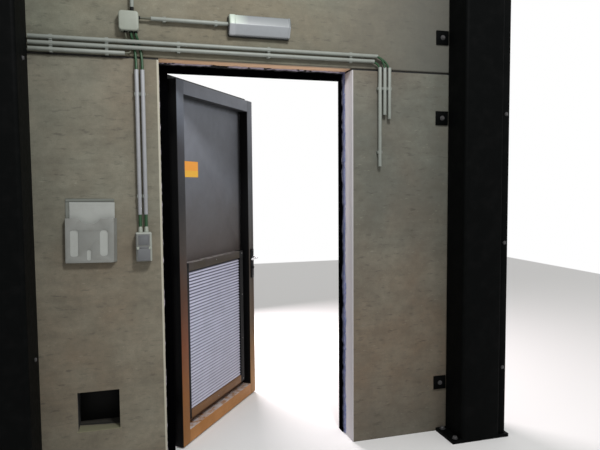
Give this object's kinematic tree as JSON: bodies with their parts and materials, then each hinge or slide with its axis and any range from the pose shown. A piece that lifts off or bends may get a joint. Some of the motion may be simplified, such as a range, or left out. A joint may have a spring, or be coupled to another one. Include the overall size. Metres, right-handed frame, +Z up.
{
  "type": "door wall bay of a substation building",
  "caption": "Wall bay of a substation building: concrete panels between two steel columns, with an outward opening louvred steel door, lamp, conduits, switch and document pocket.",
  "frame": {"origin": "middle of the left column's base plate, on its underside, at finished floor level", "axes": "+Z up; +X along the wall, from the left column to the right one as seen from inside the room; +Y outdoors"},
  "size_m": [2.829, 1.3419, 3],
  "materials": {
    "concrete": "cast concrete, matt",
    "black_steel": "black paint, satin",
    "door_steel": "anthracite powder coat, satin",
    "door_frame_steel": "dark powder coat, satin",
    "louvre_metal": "dull natural aluminium",
    "hinge_steel": "painted with the door",
    "furniture_black": "black, satin",
    "bright_steel": "brushed",
    "joint_rubber": "matt",
    "foam": "matt",
    "cover_steel": "grey paint",
    "conduit_grey": "rigid conduit, satin",
    "clip_grey": "satin",
    "cable_green": "green sheath",
    "box_plastic": "satin",
    "lamp_body": "satin",
    "lamp_diffuser": "translucent white",
    "switch_plastic": "satin",
    "pocket_plastic": "grey moulded plastic",
    "sheet_paper": "plain sheets"
  },
  "bodies": {
    "wall": {"left_base_plate": "black_steel", "left_column": "black_steel", "left_column_cap": "black_steel", "right_base_plate": "black_steel", "right_column": "black_steel", "right_column_cap": "black_steel", "right_corner_strip": "black_steel", "panel_lugs": "black_steel", "left_lower_panel": "concrete", "right_lower_panel": "concrete", "upper_panel": "concrete", "panel_joint_strips": "joint_rubber", "cable_opening_cover": "cover_steel", "frame_left_jamb": "door_frame_steel", "frame_right_jamb": "door_frame_steel", "frame_head": "door_frame_steel", "frame_seal": "foam", "frame_hinge_halves": "hinge_steel", "conduit_top": "conduit_grey", "conduit_middle": "conduit_grey", "conduit_bottom": "conduit_grey", "right_conduits": "conduit_grey", "switch_conduits": "conduit_grey", "riser_conduit": "conduit_grey", "lamp_conduit": "conduit_grey", "horizontal_clips": "clip_grey", "vertical_clips": "clip_grey", "junction_box": "box_plastic", "junction_box_lid": "box_plastic", "lamp_base": "lamp_body", "lamp_cover": "lamp_diffuser", "switch_box": "switch_plastic", "switch_rocker": "switch_plastic", "socket_lid": "switch_plastic", "document_pocket": "pocket_plastic", "document_sheets": "sheet_paper", "box_glands": "box_plastic", "switch_glands": "switch_plastic", "cables": "cable_green"},
    "door": {"leaf_skin": "door_steel", "leaf_hinge_stile": "door_steel", "leaf_lock_stile": "door_steel", "leaf_top_rail": "door_steel", "leaf_bottom_rail": "door_steel", "louvre_frame": "door_steel", "louvre_blades": "louvre_metal", "leaf_hinge_halves": "hinge_steel", "inner_handle_plate": "furniture_black", "outer_handle_plate": "furniture_black", "lock_forend": "bright_steel"},
    "handle": {"inner_lever": "bright_steel", "outer_lever": "bright_steel", "lever_spindle": "bright_steel"}
  },
  "joints": [
    {"name": "door_hinge", "type": "hinge", "parent": "wall", "child": "door", "pos_m": [0.7395, 0.368, 0], "axis": [0, 0, 1], "range_deg": [-53.7, 56.3]},
    {"name": "handle_turn", "type": "hinge", "parent": "door", "child": "handle", "pos_m": [1.31257, 1.14814, 0.99], "axis": [0.8059, -0.592, 0], "range_deg": [0, 40], "stiffness_Nm_per_rad": 1.2, "springref_deg": -34.38}
  ]
}
